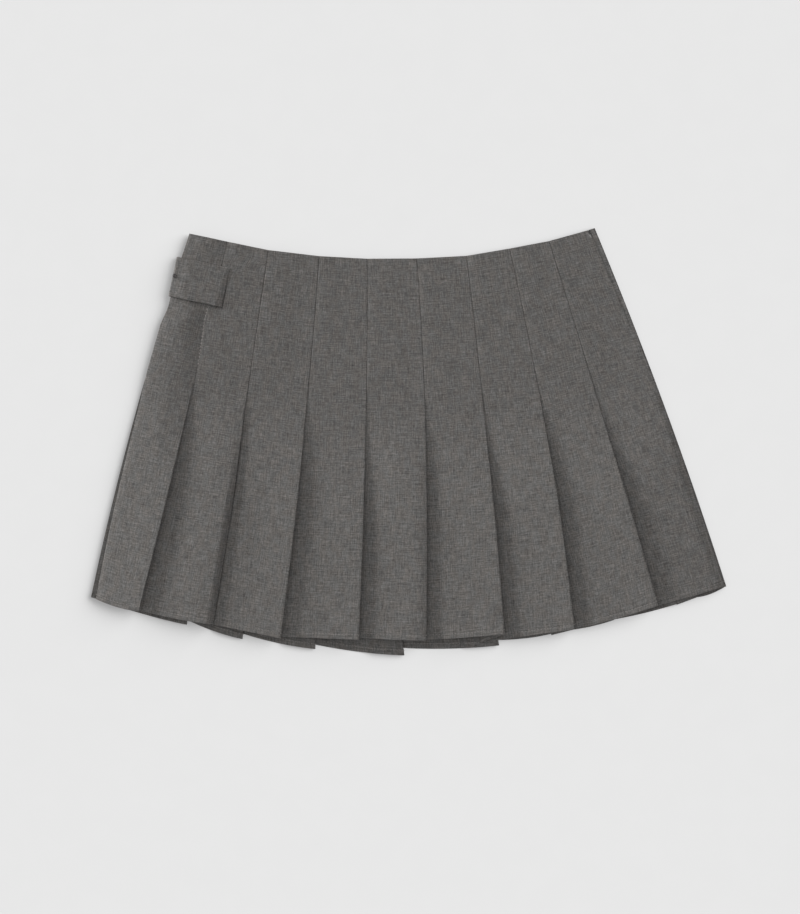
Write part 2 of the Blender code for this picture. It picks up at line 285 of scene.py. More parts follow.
CREST, CREST_WIDE = 0.5, 1.5  # a fold's steep side is steeper still next to its edge
SHOULDER, SHOULDER_WIDE = 1.1, 2.6  # the bend at the front's left edge
FIRST_FACE_SWELL = 1.2  # the front's first face swells where it is stitched and nothing presses it
EARLY_CLIMB, EARLY_SHARE = 0.25, 0.32  # the share of its climb that a sprung face makes early, and where
GUTTER_DEEP = 1.5  # the gutter beside the second pleat
LAST_FACE_SWELL = 2.2  # the front's last face has no pleat, and only swells
LAST_FALLS, LAST_FALLS_MORE = 0.09, 0.07  # the share of it over which it falls to its edge
SEAM_STEP = 0.35  # the step down onto the seam allowance at the front's right edge
BACK_RAMP = 12.0  # length of the back's climb onto a pleat's layers
EDGE_IN = 1.7  # how far the front's left edge draws in where the pleats open


def pressed_fold(edge, arriving, leaving, high, pitch):
    """The cloth arrives at edge in one direction, turns down and leaves one layer lower."""
    turn = pitch / 2
    inside = edge - arriving * FOLD_TURN
    round_it = [
        (inside + arriving * FOLD_TURN * math.sin(a), high - turn * (1 - math.cos(a))) for a in FOLD_ANGLES
    ]
    return [(inside, high), *round_it, (edge + leaving * FOLD_TURN, high - pitch)]


def knife_pleat(edge, arriving, lower, leaving, high, pitch):
    """The upper fold at edge, the layer inside the pleat, which sags, and the lower fold."""
    inward = (lower - edge).normalized()
    inside = [(edge.lerp(lower, s), pitch + (high - 2 * pitch) * (1 - s) ** 1.5) for s in UNDER_SHARES]
    upper_fold = pressed_fold(edge, arriving, inward, high, pitch)
    return upper_fold + inside + pressed_fold(lower, inward, leaving, pitch, pitch)


def side_turn(edge, inward, top):
    """At the skirt's side the back leans out, turns and goes in over itself, to meet the front's edge."""
    inside = edge + inward * SIDE_TURN
    round_it = [
        (inside - inward * SIDE_TURN * math.sin(a), top * ((1 - math.cos(a)) / 2) ** 0.6) for a in SIDE_ANGLES
    ]
    return [(inside, 0.0), *round_it, (inside, top), (edge + inward * SIDE_WRAP, top)]


def rolled(fold, distance, v, open_here):
    """How far the cloth has rolled down at this distance from its fold's edge."""
    down = 0.0
    if fold.roll_wide:
        down += fold.roll * max(0.0, 1 - distance / fold.roll_wide) ** 2
    if fold.side_wide:
        sloping = max(0.0, 1 - distance / fold.side_wide) ** 1.1
        sloping += CREST * max(0.0, 1 - distance / CREST_WIDE)
        down += fold.side * sloping * climb(v, 0.45, 0.3)
    return down * open_here


def flush(distance, above, v):
    """Beside a pleat that is stitched down, the next face starts as high as the last one ended."""
    return (above - SEAM_DEEP) * fall(v, 0.3, 0.14) * climb(distance, 0.08, 0.65) * fall(distance, 2, 26)


def gutter(distance, open_here):
    """Beside the second pleat's steep side the next face starts in a narrow gutter and swells beyond it."""
    return GUTTER_DEEP * open_here * climb(distance, 0.6, 0.8) * fall(distance, 6, 24)


def shoulder(share, wide, open_here, pressed):
    """The front's left edge bends down to the seam at the side, and the stitched face swells beyond it."""
    settled = climb(share, 0.35, 0.65) * (1 - open_here)
    bend = SHOULDER * (1 - math.exp(-share * wide / SHOULDER_WIDE)) * (1 - settled) * (1 - 0.7 * pressed)
    return bend + FIRST_FACE_SWELL * math.sin(math.pi * share**1.5) * (1 - open_here) * (1 - pressed)


def right_edge(share, wide, v):
    """Near the waist the front's right edge steps down onto its seam allowance: moved share, and height."""
    held = fall(v, 0.26, 0.07)
    seam = 4.7 - 6.0 * max(0.0, v - 0.02)  # from the edge to the step
    places = {0.905: seam + 0.8, 0.925: seam + 0.2, 0.945: seam - 0.3, 0.965: seam * 0.55, 0.985: seam * 0.2}
    if share not in places:
        return share, 0.0
    moved = share + (1 - places[share] / wide - share) * held
    return moved, -SEAM_STEP * held if share > 0.93 else 0.0


def front_height(share, first_free, top, pitch, open_here, early):
    """Stitched, a face lies flat on its pleat's layers. Sprung, it climbs to its edge, in part early on."""
    reach = min(1.0, 0.95 * first_free * (math.pi / 2) / math.asin(min(1.0, 2 * pitch / top)))
    pressed = math.sin(math.pi / 2 * min(1.0, share / reach))
    sprung = (1 - early) * share + early * smooth(share / EARLY_SHARE)
    return top * (pressed + (sprung - pressed) * open_here)


def back_height(share, first_free, top, ramp):
    """Flat on the table, and then a short ramp onto the pleat's two layers."""
    start = max(0.04, first_free - ramp)
    return top * climb(share, start, first_free - start)


print(len(FACE_SHARES), "points on a face and", 2 * len(FOLD_ANGLES) + 4 + len(UNDER_SHARES), "in its pleat")

# %% [markdown]
# ## One section of a panel
#
# This is the walk itself. Besides the points it notes the column at which each face starts, because
# the weave is laid out face by face later on.


# %% Walk across a panel at one level
def panel_section(folds, v, is_front):
    """The middle of the cloth at one level, from left to right, and the first column of each face."""
    lines = [on_line(fold, v) for fold in folds]
    lines[0] = pinched(lines[0])
    if is_front:
        lines[0].x += EDGE_IN * climb(v, 0.36, 0.14)
        moved = [Vector((fold.out * opening(v, fold.opens), 0)) for fold in folds]
        lines = [line + out for line, out in zip(lines, moved)]
        lines[1] = drawn(lines[1])
    last = len(folds) - 1
    pitch = layer(v)
    pleat_high = 2 * pitch + 0.06
    base = FRONT_BASE + FRONT_BASE_RISES * opening(v)
    back_top = pleat_high + BACK_LIFT * opening(v)
    side_top = base - BACK_BASE - pitch
    section, starts = [], []
    start, ended = lines[0], 0.0
    if not is_front:
        inward = (lines[1] - start).normalized()
        section += reversed(side_turn(start, inward, side_top))
        start = start + inward * SIDE_TURN
    for k in range(1, last + 1):
        fold, edge = folds[k], lines[k]
        face = edge - start
        wide = face.length
        used = 1 - FOLD_TURN / wide  # the share of it up to the next fold
        if k == last:
            used = 1.0 if is_front else 1 - SIDE_TURN / wide
        deep = fold.deep_waist + (fold.deep_hem - fold.deep_waist) * v
        first_free = 1 - (deep + FOLD_TURN) / wide
        open_here = opening(v, fold.opens)
        starts.append(len(section))
        for share in FACE_SHARES:
            if k == last and is_front:
                share, high = right_edge(share, wide, v)
                falls = LAST_FALLS + LAST_FALLS_MORE * climb(v, 0.55, 0.2)
                high += LAST_FACE_SWELL * open_here * smooth(share / 0.5) * smooth((1 - share) / falls)
                high += flush(share * wide, ended, v)
            elif k == last:
                high = 0.0
            elif is_front:
                if k == 2:
                    share = to_wall(share, start, edge)
                top = pleat_high + fold.lift * open_here
                early = EARLY_CLIMB if k > 2 else 0.0
                high = front_height(share, first_free, top, pitch, open_here, early)
                if k == 1:
                    high += shoulder(share, wide, open_here, pressed_by_strap(start + face * share))
                else:
                    high += flush(share * wide, ended, v)
                if k == 3:
                    high += gutter(share * wide, opening(v, folds[2].opens))
                high -= rolled(fold, (1 - share) * wide, v, open_here)
            else:
                top = back_top
                high = back_height(share, first_free, top, BACK_RAMP / wide)
            bow = Vector((0, -fold.bow * 4 * share * (1 - share) * v**4))
            section.append((start + face * share * used + bow, high))
        if k < last:
            ended = top
            if is_front:
                ended = top + (SHOULDER * open_here if k == 1 else 0) - rolled(fold, 0, v, open_here)
            start = edge + Vector((0, -fold.step * v * v))
            leaving = (lines[k + 1] - start).normalized()
            lower = start - leaving * deep
            section += knife_pleat(edge, face.normalized(), lower, leaving, ended, pitch)

    if is_front:
        section.append((lines[last], 0.0))
        section = [(p, base + high - sagged(p, lines[1], v) - bedded(p)) for p, high in section]
    else:
        section += side_turn(lines[last], -face.normalized(), side_top)
        section = [(p, BACK_BASE + high) for p, high in section]
    return [(p.x, p.y, high + raised_by_strap(p)) for p, high in section], starts


section, _ = panel_section(FRONT, 1.0, True)
highest = round(max(z for x, y, z in section), 1)
print(len(section), "points in a section of the front; its top is", highest, "mm high")

# %% [markdown]
# ## Creases
#
# Even well pressed cloth has small puckers where a pleat is stitched down, and long soft waves where
# it has hung or been folded. Each is a row here: its middle in plan, direction, length, width and
# height, below nought for a trough. It moves every layer there alike, so no layer cuts another.

# %% Tables of creases, in millimetres and degrees
Crease = namedtuple("Crease", "x y turned length width height")

FRONT_CREASES = [Crease(*row) for row in (
    (-218, 108, 72, 150, 11, 0.45),  # the first face swells beside the first pleat
    (-206, 184.5, 62, 10, 2, -0.3),  # a pucker at its upper corner
    (-126, 171.5, 24, 22, 2.2, -0.26),  # puckers at the top of the second pleat
    (-119.5, 163, -20, 16, 2.4, 0.22),
    (-113, 155, 62, 18, 2.6, -0.18),
    (-127.5, 150, 68, 24, 2, 0.2),
    (-86.6, 124, 84, 11, 1.7, -0.34),  # a pull at the third pleat
    (-52, 120, 80, 60, 6, 0.16),
    (30, 140, -84, 46, 5, -0.15),
    (82, 150, -62, 40, 4.5, 0.14),
    (150, 170, -58, 34, 3.5, -0.2),
    (176.5, 104, -50, 9, 1.6, 0.26),  # a tick at the eighth pleat
    (196, 120, -66, 60, 5, 0.18),
    (-166.6, -80, 80.5, 250, 3, -1.2),  # a trough beside the second pleat
    (-236, 10, 74, 90, 8, 0.45),
    (-262, -90, 70, 70, 7, -0.3),
    (-196, -40, 60, 80, 9, 0.4),
    (-120, -30, 76, 110, 8, -0.34),
    (-58, -70, 96, 90, 9, 0.3),
    (-14, -40, 84, 120, 8, 0.36),
    (2, -130, 100, 60, 7, -0.3),
    (48, -90, -80, 100, 9, -0.34),
    (108, -60, -70, 90, 8, 0.32),
    (176, -50, -72, 110, 9, -0.3),
    (236, 0, -66, 100, 8, 0.36),
    (262, -90, -70, 80, 9, -0.32),
)]
BACK_CREASES = [Crease(*row) for row in (
    (-170, 120, 80, 90, 6, 0.3),
    (-104, 60, 66, 60, 5, 0.24),
    (-60, -60, 88, 130, 8, 0.36),
    (10, 90, -84, 80, 5, 0.22),
    (60, -90, -70, 110, 9, 0.4),
    (150, -20, -62, 120, 8, 0.34),
    (214, 40, -70, 90, 6, 0.28),
    (-220, -60, 72, 100, 8, 0.36),
)]


def creased(grid, creases):
    """Moves a grid of points up and down by every crease."""
    grid = grid.copy()
    for c in creases:
        turned = math.radians(c.turned)
        x, y = grid[..., 0] - c.x, grid[..., 1] - c.y
        along = (x * math.cos(turned) + y * math.sin(turned)) / (c.length / 2)
        across = (y * math.cos(turned) - x * math.sin(turned)) / c.width
        grid[..., 2] += c.height * np.clip(1 - along**2, 0, 1) ** 2 * np.exp(-(across**2))
    return grid


print(len(FRONT_CREASES), "creases in front and", len(BACK_CREASES), "behind")

# %% [markdown]
# ## From sections to a shell
#
# A real panel is thicker in its turned-up hem, has a groove at the hem's stitches and rounded edges.
# So the shell is made from its middle: along the normals, its points go out by one amount on the
# cloth's right side and in by another on its wrong side. The UV map is laid out in metres.

# %% Levels from waist to hem, and the thickness at each
GROOVE_DEEP, GROOVE_WIDE = 0.16, 0.45  # the groove at the hem's stitches
PUFF_HIGH, PUFF_AT, PUFF_WIDE = 0.10, 2.2, 1.5  # the hem puffs up a little below them

from_hem = [0, 0.1, 0.25, 0.6, 1.2, 2.2, 3.3, 4.0, 4.35, 4.6, 4.85, 5.2, 5.6, 6.0, 7.2, 9.0]
from_waist = [0, 0.1, 0.25, 0.6, 1.4]
between = np.linspace(3.0, LENGTH - 12.0, 112)
LEVELS = [d / LENGTH for d in (*from_waist, *between)] + [1 - d / LENGTH for d in reversed(from_hem)]


def edge_round(distance):
    """The share of the full thickness at this distance from a cut or folded edge."""
    near = min(1.0, distance / (CLOTH / 2))
    return max(0.25, math.sqrt(1 - (1 - near) ** 2))


def thicknesses():
    """For each level, how far the cloth's right side and its wrong side are from its middle."""
    right, wrong = [], []
    for v in LEVELS:
        above_hem, below_waist = (1 - v) * LENGTH, v * LENGTH
        rounding = min(edge_round(above_hem), edge_round(below_waist))
        groove = GROOVE_DEEP * math.exp(-(((above_hem - HEM_STITCH) / GROOVE_WIDE) ** 2))
        puff = PUFF_HIGH * math.exp(-(((above_hem - PUFF_AT) / PUFF_WIDE) ** 2))
        turned_up = HEM_EXTRA * smooth((HEM_TURNED + 0.4 - above_hem) / 0.5)
        right.append(CLOTH / 2 * rounding - groove + puff)
        wrong.append((CLOTH / 2 + turned_up - 0.6 * groove) * rounding)
    return np.array(right), np.array(wrong)


print(len(LEVELS), "levels")


# %% Build one shell from a grid of points
def new_object(name, data):
    """An object at the origin, in the scene."""
    thing = bpy.data.objects.new(name, data)
    bpy.context.scene.collection.objects.link(thing)
    return thing


def run_along(grid):
    """How far each point is from the start of its row, measured along the row."""
    steps = np.linalg.norm(np.diff(grid, axis=1), axis=2)
    return np.concatenate([np.zeros((len(grid), 1)), np.cumsum(steps, axis=1)], axis=1)


def shell(name, grid, above, below, cloth_uv, material):
    """A closed shell round a grid of points, in millimetres, with a UV for every corner."""
    rows, cols = grid.shape[:2]
    down, across = np.gradient(grid, axis=0), np.gradient(grid, axis=1)
    normal = np.cross(down, across)
    normal /= np.linalg.norm(normal, axis=2, keepdims=True)
    sides = [grid + normal * above[..., None], grid - normal * below[..., None]]
    points = np.concatenate([side.reshape(-1, 3) for side in sides]) * MM
    at = np.arange(rows * cols).reshape(rows, cols)
    under = at + rows * cols

    def quads(a, b, c, d):
        return np.stack([x.ravel() for x in (a, b, c, d)], axis=1)

    faces = np.concatenate([
        quads(at[:-1, :-1], at[1:, :-1], at[1:, 1:], at[:-1, 1:]),
        quads(under[:-1, :-1], under[:-1, 1:], under[1:, 1:], under[1:, :-1]),
        quads(at[0, :-1], at[0, 1:], under[0, 1:], under[0, :-1]),
        quads(at[-1, 1:], at[-1, :-1], under[-1, :-1], under[-1, 1:]),
        quads(at[1:, 0], at[:-1, 0], under[:-1, 0], under[1:, 0]),
        quads(at[:-1, -1], at[1:, -1], under[1:, -1], under[:-1, -1]),
    ])
    mesh = bpy.data.meshes.new(name)
    mesh.from_pydata(points.tolist(), [], faces.tolist())
    mesh.materials.append(material)
    corners = faces % (rows * cols)
    row, col = corners // cols, corners % cols
    left = col.min(axis=1, keepdims=True)  # a quad takes its face's layout from its left column
    uv = cloth_uv(row, col, np.broadcast_to(left, col.shape))
    mesh.uv_layers.new(name="threads").data.foreach_set("uv", uv.reshape(-1).astype(np.float32))
    mesh.shade_smooth()
    print(name, "has", len(points), "points and", 2 * len(faces), "triangles")
    return new_object(name, mesh), sides


# %% [markdown]
# ## The two panels
#
# The panel was pressed so that its threads run straight down the middle of each face. So the weave is
# laid out from there, and the joint between two layouts is in the lower fold, out of sight.

# %% Build a panel
FACE_MIDDLE = FACE_SHARES.index(0.51)  # the column at a face's middle
FACE_APART = 370  # mm between the layouts of two faces, so that their weaves differ


def panel(name, folds, creases, is_front, material):
    """A pleated panel as a closed shell, its right side's points and its widths laid out flat."""
    sections = [panel_section(folds, v, is_front) for v in LEVELS]
    grid = creased(np.array([points for points, _ in sections]), creases)
    starts = np.array(sections[0][1])
    run = run_along(grid)
    face_of = np.clip(np.searchsorted(starts, np.arange(grid.shape[1]), side="right") - 1, 0, None)

    def cloth_uv(row, col, left):
        face = face_of[left]
        across = run[row, col] - run[row, starts[face] + FACE_MIDDLE]
        down = np.array(LEVELS)[row] * LENGTH
        return np.stack([across + FACE_APART * face, -down], axis=-1) * MM

    right, wrong = thicknesses()
    above, below = (right, wrong) if is_front else (wrong, right)
    spread = np.ones(grid.shape[:2])
    spread[:, 0] = spread[:, -1] = 0.3
    thing, sides = shell(name, grid, above[:, None] * spread, below[:, None] * spread, cloth_uv, material)
    widths = [run[row, -1] for row in (0, -1)]
    print(name, "unpleated is", [round(w) for w in widths], "mm wide at the waist and the hem")
    return thing, sides, widths

# %% [markdown]
# ## Materials
#
# A material is a small tree of nodes. One function adds a node with its settings and links what flows
# into it, which keeps each tree short enough to read. Colours are picked as sRGB hex values, as they
# look on a screen, and turned to the linear values that the shader wants.


# %% Helpers for materials and node trees
def hex_colour(code):
    """An sRGB hex value as linear red, green, blue and alpha."""
    parts = [int(code[i : i + 2], 16) / 255 for i in (1, 3, 5)]
    return (*[p / 12.92 if p <= 0.04045 else ((p + 0.055) / 1.055) ** 2.4 for p in parts], 1.0)


def feed(tree, node, inputs):
    """Gives each socket, by its name or number, a value or another node's output."""
    for name, value in inputs.items():
        if isinstance(value, bpy.types.NodeSocket):
            tree.links.new(value, node.inputs[name])
        else:
            node.inputs[name].default_value = value


def add(tree, kind, inputs=None, **settings):
    """Adds a node with these settings, and feeds its sockets."""
    node = tree.nodes.new(kind)
    for name, value in settings.items():
        setattr(node, name, value)
    feed(tree, node, inputs or {})
    return node


def maths(tree, operation, *values):
    """The result of a Math node on these values."""
    return add(tree, "ShaderNodeMath", dict(enumerate(values)), operation=operation).outputs[0]


def colour_ramp(tree, factor, *stops):
    """A ramp through stops, each a position and a colour, as a hex value or as linear numbers."""
    node = add(tree, "ShaderNodeValToRGB", {"Fac": factor})
    for position, _ in stops[1:-1]:
        node.color_ramp.elements.new(position)
    for element, (position, colour) in zip(node.color_ramp.elements, stops):
        element.position = position
        element.color = hex_colour(colour) if isinstance(colour, str) else colour
    return node.outputs[0]


def grain_noise(tree, size, detail):
    """A noise in the object's own space, whose patches are this long in metres."""
    place = add(tree, "ShaderNodeTexCoord").outputs["Object"]
    return add(tree, "ShaderNodeTexNoise", {"Vector": place, "Scale": 1 / size, "Detail": detail}).outputs[0]


def new_material(name):
    """A material with nodes, its tree and its Principled shader."""
    material = bpy.data.materials.new(name)
    material.use_nodes = True
    return material, material.node_tree, material.node_tree.nodes["Principled BSDF"]


print("Mid grey #808080 is", round(hex_colour("#808080")[0], 3), "in linear light")

# %% [markdown]
# ## Wool-blend plain-weave suiting
#
# The yarns are spun from light, dark and faintly brown fibres, so each yarn changes along its length.
# Woven one over, one under, they give short light and dark dashes that run both down and across. Real
# yarns lie about 0.45 mm apart, which is finer than the picture shows, so the dashes are drawn about
# twice as coarse. Two stretched noises make them, one for each direction of yarn. Wool scatters light
# in all directions and has a faint nap, so the finish is rough with a little sheen.

# %% The threads' pattern, and the suiting
YARN = 0.8  # mm, nearly twice the real 0.45, so that it shows
suiting, tree, shader = new_material("wool-blend plain-weave suiting, grey melange")
threads = add(tree, "ShaderNodeUVMap", uv_map="threads").outputs["UV"]


def cloth_noise(across_mm, down_mm, detail=1.0, seed=0.0):
    """A noise on the cloth whose patches are so many millimetres across it and down it."""
    scale = (1 / (across_mm * MM), 1 / (down_mm * MM), 1)
    placed = add(tree, "ShaderNodeMapping", {"Vector": threads, "Location": (seed, seed, 0), "Scale": scale})
    made = add(tree, "ShaderNodeTexNoise", {"Vector": placed.outputs[0], "Scale": 1.0, "Detail": detail},
               noise_dimensions="2D")
    return made.outputs["Fac"]


warp = cloth_noise(YARN, 3.2, detail=2.0, seed=3.1)
weft = cloth_noise(3.2, YARN, detail=2.0, seed=17.7)
long_warp = cloth_noise(1.0, 14.0, seed=53.9)  # a few yarns stay light or dark for longer
long_weft = cloth_noise(14.0, 1.0, seed=71.3)
slubs = cloth_noise(9.0, 1.4, detail=0.0, seed=41.3)  # thicker yarns here and there
soft = cloth_noise(17.0, 26.0, seed=8.9)  # where the cloth took the press a little unevenly
tint = cloth_noise(7.0, 11.0, seed=29.5)

both = maths(tree, "ADD", warp, weft)
streaks = maths(tree, "ADD", long_warp, long_weft)
both = maths(tree, "MULTIPLY_ADD", streaks, 1.0, both)
thick = add(tree, "ShaderNodeMapRange", {"Value": slubs, "From Min": 0.62, "From Max": 0.8, "To Max": 0.1})
woven = maths(tree, "ADD", both, thick.outputs[0])
toned = maths(tree, "MULTIPLY_ADD", soft, 0.13, woven)
shade = add(tree, "ShaderNodeMapRange", {"Value": toned, "From Min": 1.36, "From Max": 2.82}).outputs[0]
greys = colour_ramp(tree, shade, (0, "#454342"), (0.5, "#605e5c"), (1, "#7a7775"))
hues = colour_ramp(tree, tint, (0.35, (0.98, 1, 1.015, 1)), (0.65, (1.02, 1, 0.985, 1)))  # cool to warm
dyed = add(tree, "ShaderNodeMix", {0: 1.0, 6: greys, 7: hues}, data_type="RGBA",
           blend_type="MULTIPLY").outputs[2]
relief = add(tree, "ShaderNodeBump", {"Height": woven, "Strength": 0.3, "Distance": 0.1 * MM}).outputs[0]
rough = add(tree, "ShaderNodeMapRange", {"Value": woven, "From Min": 1.5, "From Max": 2.6, "To Min": 0.95,
            "To Max": 0.8}).outputs[0]
feed(tree, shader, {"Base Color": dyed, "Normal": relief, "Roughness": rough, "Specular IOR Level": 0.2,
                    "Sheen Weight": 0.08, "Sheen Roughness": 0.5, "Sheen Tint": hex_colour("#a8a29c")})
print(suiting.name, "has", len(tree.nodes), "nodes")

# %% [markdown]
# ## Sewing thread and gunmetal
#
# The thread is spun polyester, dyed to match, and matt, with fine bands where the plies turn. Its colour
# is lighter than the cloth's: a painted highlight for the light that its twist catches. The cap is steel
# with dark gunmetal plating that was tumbled, so it reflects softly and a little unevenly.

# %% Thread and metal
thread, tree, shader = new_material("spun polyester sewing thread, grey")
plies = grain_noise(tree, 0.6 * MM, 2.0)
# greys lighter than the cloth's: a painted highlight for the light that the thread's twist catches
greys = colour_ramp(tree, plies, (0.3, "#7b7875"), (0.7, "#9a9693"))
relief = add(tree, "ShaderNodeBump", {"Height": plies, "Strength": 0.4, "Distance": 0.05 * MM}).outputs[0]
feed(tree, shader, {"Base Color": greys, "Normal": relief, "Roughness": 0.85, "Specular IOR Level": 0.3})

gunmetal, tree, shader = new_material("gunmetal-plated steel, tumbled")
wear = grain_noise(tree, 0.7 * MM, 3.0)
greys = colour_ramp(tree, wear, (0.3, "#625f5f"), (0.75, "#838080"))
rough = add(tree, "ShaderNodeMapRange", {"Value": wear, "To Min": 0.25, "To Max": 0.5}).outputs[0]
feed(tree, shader, {"Base Color": greys, "Roughness": rough, "Metallic": 1.0})
print("Made", thread.name, "and", gunmetal.name)

# %% [markdown]
# ## The panels, built
#
# Both panels come from the same functions. The front lies with its right side up, and the back with
# its right side on the table, so their hems turn up towards each other.

# %% Front and back
front, front_sides, front_widths = panel("skirt_front_cloth", FRONT, FRONT_CREASES, True, suiting)
back, back_sides, back_widths = panel("skirt_back_cloth", BACK, BACK_CREASES, False, suiting)

# %% [markdown]
# ## The strap
#
# The strap is a tube of cloth, pressed flat, with its seam allowances inside. It is sewn on under the
# back, comes round the side in a tight turn and lies on the front, where its free end rolls down, most
# at its lower corner. It is one grid: lines along the strap that all follow the same way round the side.

# %% The strap's way round the side, in millimetres
STRAP_TOP = 7.7  # middle of the strap where it has come round the side
STRAP_CREST = 8.75  # middle of the strap where it lies over the first pleat
STRAP_CLIMBS = 13.0  # length of its climb there
END_ROLL = (0.4, 3.0)  # how far the free end rolls down at its upper and its lower edge
END_ROLL_WIDE = (3.0, 6.8)  # over this length there
LOWER_STANDS = 1.0  # how far the lower edge of its front stands off the cloth
MORE_STANDS, MORE_AT, MORE_WIDE = 0.5, 19.0, 9.0  # the share more that it does round this place
STRAP_TURN = 1.1  # how far it bulges out as it goes round, because it is pressed flat
STRAP_APART = 5200  # mm from the panels' layouts of the weave to the strap's
strap_low = STRAP_THICK / 2 + 0.1
strap_radius = (STRAP_TOP - strap_low) / 2
strap_centre = STRAP_TURN + STRAP_THICK / 2

strap_way = [(a, strap_low) for a in np.linspace(STRAP_BACK, strap_centre, 12)]
for turn in map(math.radians, range(10, 180, 10)):
    out, up = STRAP_TURN * math.sin(turn), strap_radius * (1 - math.cos(turn))
    strap_way.append((strap_centre - out, strap_low + up))
front_from = len(strap_way)  # the columns from here on lie on the front
near_end = [8.4, 7.8, 7.2, 6.6, 6.0, 5.4, 4.8, 4.2, 3.6, 3.0, 2.4, 1.8, 1.3, 0.9, 0.6, 0.35, 0.18, 0.07, 0]
for a in (*np.linspace(strap_centre, STRAP_FRONT - 9, 30), *[STRAP_FRONT - d for d in near_end]):
    strap_way.append((a, STRAP_TOP + (STRAP_CREST - STRAP_TOP) * climb(a, strap_centre, STRAP_CLIMBS)))
half = [0, 0.08, 0.25, 0.6, 1.1, 2.0, 3.2, 5.0, 8.0, 12.0, 16.0]  # distances from the strap's edges
strap_lines = [STRAP_WIDE / 2 - d for d in half] + [0.0] + [d - STRAP_WIDE / 2 for d in reversed(half)]

strap_grid = np.zeros((len(strap_lines), len(strap_way), 3))
for r, b in enumerate(strap_lines):
    down_share = 0.5 - b / STRAP_WIDE
    roll, roll_wide = [ends[0] + (ends[1] - ends[0]) * down_share for ends in (END_ROLL, END_ROLL_WIDE)]
    for c, (a, z) in enumerate(strap_way):
        if c >= front_from:
            z -= roll * max(0.0, 1 - (STRAP_FRONT - a) / roll_wide) ** 1.3
            more = 1 + MORE_STANDS * math.exp(-(((a - MORE_AT) / MORE_WIDE) ** 2))
            z += LOWER_STANDS * down_share**2 * climb(a, 2, 9) * more
        plan = STRAP_SIDE + STRAP_ALONG * a + STRAP_UP * b
        strap_grid[r, c] = (plan.x, plan.y, z)

strap_run = run_along(strap_grid)
from_edge = np.array([STRAP_WIDE / 2 - abs(b) for b in strap_lines])[:, None]
from_end = np.minimum(strap_run, strap_run[:, -1:] - strap_run)
near = np.clip(np.minimum(from_edge, from_end) / (STRAP_THICK / 2), 0, 1)
strap_half = STRAP_THICK / 2 * np.clip(np.sqrt(1 - (1 - near) ** 2), 0.12, 1)
strap_half += 0.10 * np.exp(-(((from_edge - 4) / 3) ** 2)) * near  # the seam allowances inside


def strap_uv(row, col, left):
    """The strap's threads run along it and across it."""
    return np.stack([strap_run[row, col] + STRAP_APART, np.array(strap_lines)[row]], axis=-1) * MM


strap, _ = shell("waist_strap_cloth", strap_grid, strap_half, strap_half, strap_uv, suiting)
print("The strap is", round(strap_run[0, -1]), "mm long along its middle")

# %% [markdown]
# ## The cap on the strap
#
# A small fastening cap is turned or pressed metal: a rolled rim round a low dome. Its half section is
# spun round, which is how a lathe or a press makes it.

# %% Spin the cap
CAP_FROM_SIDE, CAP_UP = 1.7, 0.9  # from the strap's outermost line, and from its middle
CAP_SIDES = 32
CAP_LEANS = math.radians(28)  # it sits on the strap's turn round the side
CAP_SECTION = (  # radius and height over the strap, in millimetres
    (0.0, 1.0), (0.25, 0.98), (0.48, 0.9), (0.66, 0.74), (0.76, 0.5), (0.8, 0.2), (0.9, 0.1), (1.1, 0.3),
    (1.35, 0.52), (1.5, 0.56), (1.68, 0.48), (1.92, 0.22), (2.05, -0.1), (2.05, -0.6), (0.0, -0.6),
)
cap_place = STRAP_SIDE + STRAP_ALONG * CAP_FROM_SIDE + STRAP_UP * CAP_UP
cap_seat = STRAP_TOP + STRAP_THICK / 2
cap_axis = Matrix.Rotation(-CAP_LEANS, 3, STRAP_UP.to_3d()) @ Vector((0, 0, 1))
cap_out = STRAP_UP.to_3d()
cap_foot = Vector((cap_place.x, cap_place.y, cap_seat)) * MM
shape = bmesh.new()
ring = [shape.verts.new(cap_foot + (cap_out * r + cap_axis * z) * MM) for r, z in CAP_SECTION]
edges = [shape.edges.new(pair) for pair in zip(ring, ring[1:])]
bmesh.ops.spin(shape, geom=ring + edges, cent=cap_foot, axis=cap_axis, steps=CAP_SIDES, angle=2 * math.pi)
bmesh.ops.remove_doubles(shape, verts=shape.verts, dist=0.01 * MM)
bmesh.ops.recalc_face_normals(shape, faces=shape.faces)
mesh = bpy.data.meshes.new("strap_rivet_cap")
shape.to_mesh(mesh)
shape.free()
mesh.materials.append(gunmetal)
mesh.shade_smooth()
cap = new_object("strap_rivet_cap", mesh)
print("The cap has", len(mesh.polygons), "faces and sits", round(cap_seat, 2), "mm above the table")

# %% [markdown]
# ## Stitches
#
# The narrow hem is held by one row of lockstitch, 4.6 mm above its edge, about 3 mm a stitch. Geometry
# Nodes lay it: the line is cut to even lengths, and a bead of thread is put on each point, turned along
# the line. A little seeded slant keeps the row from looking drawn with a ruler. The result is made
# real, because an exported model can't hold instances.

# %% The node tree for a row of stitches
BEAD_SIDES, BEAD_RINGS = 6, 4
BEAD_FACES = BEAD_SIDES * BEAD_RINGS


